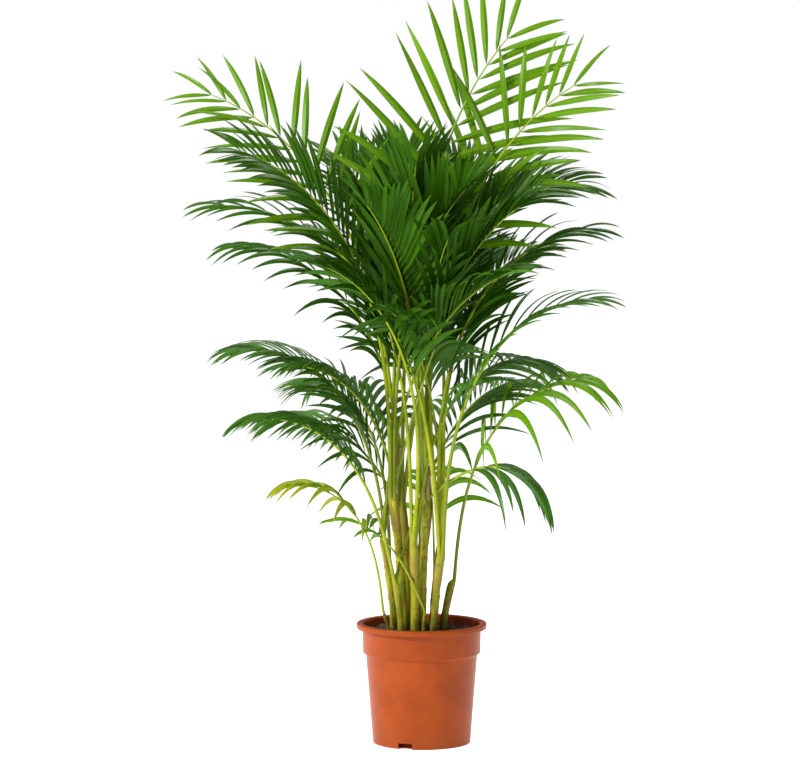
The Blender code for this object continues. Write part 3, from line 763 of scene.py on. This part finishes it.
def cane_finish():
    cane = Finish("cane_sheath")
    ring, metres = cane.attribute("ring"), cane.attribute("metres")
    cloud = cane.noise(cane.stretched(1.0, 1.0, 0.30), 55.0, 4.0, 0.6)
    lines = cane.noise(cane.stretched(1.0, 1.0, 0.05), 420.0, 3.0)
    base = cane.mix(cloud.step(0.30, 0.62), (0.11, 0.16, 0.004), (0.46, 0.43, 0.010))
    base = cane.mix(cane.attribute("shade") * 0.45, base, (0.09, 0.12, 0.006))
    base = cane.mix(lines.step(0.45, 0.75) * 0.5, base, (0.40, 0.29, 0.012))
    blotch = cane.noise(cane.stretched(1.0, 1.0, 0.35), 80.0, 4.0, 0.7).step(0.54, 0.64)
    base = cane.mix(blotch * 0.75, base, (0.22, 0.075, 0.008))
    foot = metres.step(0.085, 0.048)
    base = cane.mix(foot * 0.7, base, (0.10, 0.06, 0.02))
    scar = ring.step(0.93, 0.97) * ring.step(1.0, 0.97)
    base = cane.mix(scar * 0.7, base, (0.16, 0.09, 0.03))
    height = lines * 0.7 + cloud * 0.3
    bump = cane.bump(height, 0.5 * MM, 0.5)
    return cane.done(cane.principled(base, cloud * 0.25 + 0.40, Normal=bump, Specular_IOR_Level=0.22))


CANE_END = ((16, 0.97), (6, 0.72), (0.5, 0.30))  # millimetres under the top, share of the radius


def closing(path):
    """The cane with its last stretch drawn in, where the sheath ends and the stalks take over."""
    top, radius = path[-1]
    down = (path[-2][0] - top).normalized()
    return path[:-1] + [(top + down * (d * MM), radius * share) for d, share in CANE_END]


sheath_skin = cane_finish()
palm_cane = cane_growth(sheath_skin)
for name, path in canes.items():
    piece = guide(name + "_fine", closing(path))
    count = len(piece.data.vertices)
    stored(piece.data, "shift", "FLOAT", [float(rng.uniform(0, 1))] * count)
    pieces[name] = grown(piece, palm_cane, skin=sheath_skin)
    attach(piece, "root")
    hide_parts(name)
print("canes:", len(canes))

# %% [markdown]
# ## Spears and cut stalks
#
# A spear is a leaf that has not opened: all its leaflets are still folded together, which shows as
# ribs along it. A cut stalk is what is left where an old leaf was taken off.


# %% Spears and cut stalks
def stem_growth(skin):
    grow = Growth("palm_stem", step=4 * MM, sides=10, skin=skin)
    base = Wire(grow, grow.inputs.outputs["Geometry"])
    bar = grow.swept(base, grow.given("step"), grow.given("sides"), grow.given("skin"))
    return grow.finish(grow.node("GeometryNodeSetShadeSmooth", {"Geometry": bar}, domain="FACE"))


def spear_finish():
    spear = Finish("spear_leaf")
    ribs = spear.noise(spear.stretched(1.0, 1.0, 0.04), 700.0, 2.0)
    cloud = spear.noise(spear.place, 40.0, 3.0)
    base = spear.mix(ribs.step(0.35, 0.65), (0.20, 0.34, 0.020), (0.42, 0.52, 0.06))
    base = spear.mix(cloud * 0.4, base, (0.30, 0.40, 0.03))
    return spear.done(spear.principled(base, 0.38, Normal=spear.bump(ribs, 0.5 * MM, 0.6)))


def dry_finish():
    dry = Finish("dry_stalk")
    lines = dry.noise(dry.stretched(1.0, 1.0, 0.08), 600.0, 3.0)
    cloud = dry.noise(dry.place, 70.0, 3.0)
    base = dry.mix(lines.step(0.3, 0.7), (0.16, 0.085, 0.025), (0.42, 0.28, 0.10))
    base = dry.mix(cloud * 0.5, base, (0.24, 0.20, 0.05))
    return dry.done(dry.principled(base, 0.7, Normal=dry.bump(lines, 0.6 * MM, 0.7)))


spear_skin, dry_skin = spear_finish(), dry_finish()
palm_stem = stem_growth(spear_skin)
for name, path in shoots.items():
    young = name.startswith("spear")
    piece = guide(name + "_fine", sheathed(path) if young else path)
    pieces[name] = grown(piece, palm_stem, skin=spear_skin if young else dry_skin)
    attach(piece, "root")
    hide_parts(name)
print("shoots:", len(shoots))

# %% [markdown]
# ## The nursery pot
#
# The pot is one moulding of thin plastic. It is turned from a profile: a recessed base, a tapered body,
# a step out to a straight collar, and a lip that rolls over. The profile is drawn with short arcs
# at its corners, because a moulding has no sharp ones. Boolean cuts then take out the foot notches
# and the drain holes.

# %% Pot sizes
pot_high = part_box("nursery_pot")[1]
pot_height = pot_high.z
rim = pot_high.x
collar, body, foot = 0.1095, 0.103, 0.090
collar_height, lip_height = 0.045, 0.010
wall, lift, pad, ring_in = 2 * MM, 5 * MM, 0.030, 0.076
collar_foot = pot_height - lip_height - collar_height
lip_foot = pot_height - lip_height
print("pot", round(pot_height, 4), "rim", round(rim, 4))


# %% Pot profile
def rounded(points, radii, steps=5):
    """The polyline with each corner replaced by an arc that starts that radius away from it."""
    made = [points[0]]
    for before, corner, after, radius in zip(points, points[1:], points[2:], radii):
        before, corner, after = (Vector(p) for p in (before, corner, after))
        reach = min(radius, (corner - before).length * 0.49, (after - corner).length * 0.49)
        start = corner + (before - corner).normalized() * reach
        end = corner + (after - corner).normalized() * reach
        for i in range(steps + 1):
            t = i / steps
            made.append(tuple(start * (1 - t) ** 2 + corner * (2 * t * (1 - t)) + end * t**2))
    made.append(points[-1])
    return made


slant = wall * (math.sqrt(2) - 1)
pot_line = [
    (0, 0),
    (pad, 0),
    (pad + lift, lift),
    (ring_in - lift, lift),
    (ring_in, 0),
    (foot, 0),
    (foot + 0.0005, 0.006),
    (body, collar_foot - 0.003),
    (collar - 0.001, collar_foot),
    (collar, lip_foot - 0.001),
    (rim, lip_foot),
    (rim, pot_height),
    (collar - wall, pot_height - 0.0005),
    (collar - wall - 0.0015, collar_foot + 0.002),
    (body - wall, collar_foot - 0.003),
    (foot - wall, wall),
    (ring_in + slant, wall),
    (ring_in + slant - lift, wall + lift),
    (pad - slant + lift, wall + lift),
    (pad - slant, wall),
    (0, wall),
]
corner_radii = [1, 1, 1, 1, 0.8, 1, 4, 1.2, 1.5, 1.2, 3, 4, 4, 1.5, 1.5, 1.5, 0.8, 0.8, 0.8, 0.8]
pot_outline = rounded(pot_line, [r * MM for r in corner_radii])
print("profile points:", len(pot_outline))


# %% Turn the pot and cut it
def turned(name, outline, segments):
    """A closed solid turned round Z from an outline that starts and ends on the axis."""
    bm = bmesh.new()
    line = [bm.verts.new((r, 0, z)) for r, z in outline]
    edges = [bm.edges.new(pair) for pair in zip(line, line[1:])]
    turn = {"cent": (0, 0, 0), "axis": (0, 0, 1), "angle": math.tau, "steps": segments}
    bmesh.ops.spin(bm, geom=line + edges, use_merge=True, **turn)
    bmesh.ops.remove_doubles(bm, verts=bm.verts, dist=0.005 * MM)
    bmesh.ops.recalc_face_normals(bm, faces=bm.faces)
    mesh = bpy.data.meshes.new(name)
    bm.to_mesh(mesh)
    bm.free()
    made = bpy.data.objects.new(name, mesh)
    scene.collection.objects.link(made)
    return made


def cut_with(piece, bm):
    """Cuts a closed shape out of a piece."""
    mesh = bpy.data.meshes.new("cutter")
    bm.to_mesh(mesh)
    bm.free()
    tool = bpy.data.objects.new("cutter", mesh)
    scene.collection.objects.link(tool)
    cut = piece.modifiers.new("cut", "BOOLEAN")
    cut.object, cut.operation, cut.solver = tool, "DIFFERENCE", "EXACT"
    bpy.context.view_layer.update()
    result = bpy.data.meshes.new_from_object(piece.evaluated_get(bpy.context.evaluated_depsgraph_get()))
    piece.modifiers.remove(cut)
    piece.data = result
    bpy.data.objects.remove(tool)


first_notch, notch_cut = 250, (24 * MM, 27 * MM, 22 * MM)
first_drain, drain_circle, drain_radius = 30, 55 * MM, 6 * MM
pot = turned("nursery_pot_fine", pot_outline, 160)
cuts = bmesh.new()
for i in range(3):
    angle = math.radians(first_notch + 120 * i)
    place = Matrix.Rotation(angle, 4, "Z") @ Matrix.Translation((foot + 2 * MM, 0, 0))
    bmesh.ops.create_cube(cuts, size=1, matrix=place @ Matrix.Diagonal((*notch_cut, 1)))
drill = {"cap_ends": True, "segments": 28, "radius1": drain_radius, "radius2": drain_radius}
for i in range(6):
    angle = math.radians(first_drain + 60 * i)
    centre = (drain_circle * math.cos(angle), drain_circle * math.sin(angle), lift)
    bmesh.ops.create_cone(cuts, matrix=Matrix.Translation(centre), depth=20 * MM, **drill)
cut_with(pot, cuts)
pot.data.shade_smooth()
pot.data.set_sharp_from_angle(angle=math.radians(40))
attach(pot, "root")
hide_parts("nursery_pot")
print("pot faces:", len(pot.data.polygons))


# %% [markdown]
# ## Pot finish
#
# The plastic is coloured all through, so it has no paint edge to show. What makes it look real is
# small: broad clouds of slightly different colour from the moulding, a pale scuff here and there
# from other pots, dust near the foot, and a grain too fine to see except in the shine.


# %% Pot finish
def pot_finish():
    plastic = Finish("terracotta_plastic")
    cloud = plastic.noise(plastic.place, 14.0, 4.0, 0.6)
    fine = plastic.noise(plastic.place, 190.0, 3.0, 0.65)
    base = plastic.mix(cloud.step(0.3, 0.7), (0.29, 0.045, 0.003), (0.37, 0.062, 0.005))
    base = plastic.mix(fine.step(0.55, 0.8) * 0.25, base, (0.42, 0.080, 0.009))
    height = plastic.node("ShaderNodeSeparateXYZ", {"Vector": plastic.place}, 2)
    dust = height.step(0.05, 0.0) * plastic.noise(plastic.place, 70.0, 5.0, 0.7).step(0.42, 0.68)
    base = plastic.mix(dust * 0.30, base, (0.24, 0.10, 0.035))
    scuffs = plastic.noise(plastic.stretched(1.0, 1.0, 9.0), 26.0, 5.0, 0.7).step(0.60, 0.68)
    base = plastic.mix(scuffs * 0.14, base, (0.52, 0.16, 0.05))
    rough = cloud * 0.14 + scuffs * 0.16 + 0.32
    grain = plastic.noise(plastic.place, 1500.0, 2.0)
    bump = plastic.bump(grain * 0.6 + fine * 0.4, 0.06 * MM, 0.4)
    return plastic.done(plastic.principled(base, rough, Normal=bump, Specular_IOR_Level=0.16))


pot.data.materials.clear()
pot.data.materials.append(pot_finish())
print("pot finish:", pot.data.materials[0].name)

# %% [markdown]
# ## Compost
#
# The compost is a dark crumbly mix. Its body is a closed solid whose top is lumpy. Geometry Nodes then
# scatter crumbs, strips of bark and a few white grains of perlite over the top.

# %% Compost body
soil_top = 0.2065
soil_radius = 0.1048


def compost_body():
    bm = bmesh.new()
    rings, segments = 34, 96
    loops = []
    for i in range(1, rings + 1):
        r = soil_radius * i / rings
        corners = []
        for k in range(segments):
            angle = math.tau * k / segments
            x, y = r * math.cos(angle), r * math.sin(angle)
            lump = noise.fractal(Vector((x, y, 0)) * 90, 1.0, 2.0, 4)
            ease = min(1.0, (rings - i) / 3)
            corners.append(bm.verts.new((x, y, soil_top + 2.2 * MM * lump * ease)))
        loops.append(corners)
    crown = bm.verts.new((0, 0, soil_top))
    for r, z in ((soil_radius - 0.0015, soil_top - 0.004), (0.100, 0.165), (0.0865, 0.010)):
        turns = [math.tau * k / segments for k in range(segments)]
        loops.append([bm.verts.new((r * math.cos(a), r * math.sin(a), z)) for a in turns])
    last = bm.verts.new((0, 0, 0.010))
    for k in range(segments):
        n = (k + 1) % segments
        bm.faces.new((crown, loops[0][k], loops[0][n]))
        for inner, outer in zip(loops, loops[1:]):
            bm.faces.new((inner[k], outer[k], outer[n], inner[n]))
        bm.faces.new((last, loops[-1][n], loops[-1][k]))
    bmesh.ops.recalc_face_normals(bm, faces=bm.faces)
    mesh = bpy.data.meshes.new("compost_fine")
    bm.to_mesh(mesh)
    bm.free()
    mesh.shade_smooth()
    made = bpy.data.objects.new("compost_fine", mesh)
    scene.collection.objects.link(made)
    return made


compost = compost_body()
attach(compost, "root")
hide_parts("compost")
print("compost body made, top at", soil_top)


# %% [markdown]
# ## Compost finish
#
# Two noises, a coarse and a fine one, carry both the colour and the bump of the compost, so that a
# pale fibre also stands out a little. The crumbs wear the same finish and so melt into the ground.


# %% Compost finish
def compost_finish():
    mix = Finish("compost")
    coarse = mix.noise(mix.place, 160.0, 5.0, 0.7)
    fine = mix.noise(mix.place, 700.0, 4.0, 0.7)
    base = mix.mix(coarse.step(0.35, 0.7), (0.030, 0.016, 0.008), (0.110, 0.060, 0.030))
    base = mix.mix(fine.step(0.62, 0.75) * 0.5, base, (0.16, 0.10, 0.055))
    bump = mix.bump(coarse * 0.6 + fine * 0.4, 1.2 * MM, 0.9)
    return mix.done(mix.principled(base, fine * 0.2 + 0.75, Normal=bump))


compost_skin = compost_finish()
compost.data.materials.append(compost_skin)
print("compost finish:", compost_skin.name)


# %% [markdown]
# ## Crumbs on the compost
#
# Three pieces run the same scatter tree with other numbers. Points are dealt out over the faces that
# look up, and each gets a small rounded grain with its own turn and size.


# %% Crumbs, bark and perlite
def plain_finish(name, dark, light, roughness, scale):
    crumb = Finish(name)
    spots = crumb.noise(crumb.place, scale, 4.0, 0.7)
    base = crumb.mix(spots.step(0.3, 0.7), dark, light)
    bump = crumb.bump(spots, 0.5 * MM, 0.6)
    return crumb.done(crumb.principled(base, spots * 0.15 + roughness, Normal=bump))


def scatter_growth():
    sizes = {"density": 60000.0, "size": 1.9 * MM, "long": 1.6, "edge": 0.1, "seed": 3}
    grow = Growth("compost_scatter", **sizes, crumb=compost_skin)
    base = Wire(grow, grow.inputs.outputs["Geometry"])
    level = grow.node("GeometryNodeInputPosition") * (1.0, 1.0, 0.0)
    out = grow.node("ShaderNodeVectorMath", {0: level}, 1, operation="LENGTH")
    faces = grow.axis(grow.node("GeometryNodeInputNormal"), 2) > 0.5
    where = {"Mesh": base, "Selection": faces * (out < grow.given("edge"))}
    where.update({"Density": grow.given("density"), "Seed": grow.given("seed")})
    spots = grow.node("GeometryNodeDistributePointsOnFaces", where)
    grain = grow.node("GeometryNodeMeshIcoSphere", {"Radius": 1.0, "Subdivisions": 1})
    largest = grow.node("ShaderNodeCombineXYZ", {0: grow.given("long"), 1: 1.2, 2: 0.7})
    sizes = {0: (0.5, 0.4, 0.25), 1: largest, "Seed": 5}
    spread = grow.node("FunctionNodeRandomValue", sizes, data_type="FLOAT_VECTOR")
    turns = {0: (0.0, 0.0, 0.0), 1: (6.3, 6.3, 6.3), "Seed": 8}
    turns = grow.node("FunctionNodeRandomValue", turns, data_type="FLOAT_VECTOR")
    scale = spread * grow.given("size")
    inputs = {"Points": spots, "Instance": grain, "Rotation": turns, "Scale": scale}
    grains = grow.node("GeometryNodeInstanceOnPoints", inputs)
    grains = grow.node("GeometryNodeRealizeInstances", {"Geometry": grains})
    made = {"Geometry": grains, "Material": grow.given("crumb")}
    return grow.finish(grow.node("GeometryNodeSetMaterial", made))


bark_skin = plain_finish("bark_chips", (0.06, 0.030, 0.014), (0.24, 0.13, 0.060), 0.75, 240.0)
perlite_skin = plain_finish("perlite", (0.42, 0.38, 0.32), (0.75, 0.72, 0.66), 0.8, 500.0)
scatter = scatter_growth()
# Name, grains for each square metre, size, longest against shortest, how far out from the middle
# of the pot they lie so that none pokes through the wall, seed and finish.
KINDS = (
    ("compost_crumbs", 90000.0, 2.0 * MM, 1.6, 0.1025, 3, compost_skin),
    ("bark_strips", 12000.0, 2.6 * MM, 4.5, 0.0930, 11, bark_skin),
    ("perlite_grains", 1500.0, 1.6 * MM, 1.3, 0.1020, 23, perlite_skin),
)
for name, density, size, long, edge, seed, skin in KINDS:
    piece = bpy.data.objects.new(name, compost.data.copy())
    scene.collection.objects.link(piece)
    grown(piece, scatter, density=density, size=size, long=long, edge=edge, seed=seed, crumb=skin)
    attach(piece, "root")
    print(name, len(piece.data.polygons), "faces")

# %% [markdown]
# ## Floor, light and camera
#
# The palm stands on a white sweep. The floor gives off a little light of its own, so that it stays
# white under the shade of the crown. The camera sees a white world, but the light that reaches the
# leaves from it is only a third as strong. A large lamp on the left shapes the pot and the leaflets.

# %% Floor, light and camera
FLOOR_REACH = 30  # metres from the middle to each edge, past anything a camera sees
floor_bm = bmesh.new()
bmesh.ops.create_grid(floor_bm, x_segments=1, y_segments=1, size=FLOOR_REACH)
floor_mesh = bpy.data.meshes.new("floor")
floor_bm.to_mesh(floor_mesh)
floor_bm.free()
floor = bpy.data.objects.new("floor", floor_mesh)
scene.collection.objects.link(floor)
paper = Finish("pale_floor")
glow = {"Emission_Color": (1.0, 1.0, 1.0), "Emission_Strength": 0.76}
floor.data.materials.append(paper.done(paper.principled((0.88, 0.88, 0.88), 0.9, **glow)))


def softbox(name, place, aim, size, power):
    light = bpy.data.lights.new(name, "AREA")
    light.shape, light.size, light.energy = "DISK", size, power
    lamp = bpy.data.objects.new(name, light)
    lamp.location = place
    lamp.rotation_euler = (Vector(aim) - Vector(place)).to_track_quat("-Z", "Y").to_euler()
    scene.collection.objects.link(lamp)
    return lamp


softbox("key", (-3.2, -2.2, 2.4), (0, 0, 0.6), 1.1, 190)
softbox("top", (0.6, 1.4, 3.8), (0, 0, 0.9), 1.6, 90)

world = bpy.data.worlds.new("studio")
scene.world = world
world.use_nodes = True
world.node_tree.nodes.clear()
sky = Tree(world.node_tree)
soft = sky.node("ShaderNodeBackground", {"Color": (1, 1, 1), "Strength": 0.34})
white = sky.node("ShaderNodeBackground", {"Color": (1, 1, 1), "Strength": 1.0})
seen = sky.node("ShaderNodeLightPath", out=0)
shown = sky.node("ShaderNodeMixShader", {0: seen, 1: soft, 2: white})
surface = world.node_tree.nodes.new("ShaderNodeOutputWorld").inputs["Surface"]
world.node_tree.links.new(shown.socket, surface)
scene.view_settings.view_transform = "Standard"

camera_data = bpy.data.cameras.new("camera")
camera_data.lens, camera_data.sensor_width = 135, 36
camera = bpy.data.objects.new("camera", camera_data)
camera.location = (-0.040, -5.5, 1.016)
target = Vector((-0.040, 0, 0.66))
camera.rotation_euler = (target - camera.location).to_track_quat("-Z", "Y").to_euler()
scene.collection.objects.link(camera)
scene.camera = camera
print("camera at", [round(v, 3) for v in camera.location])
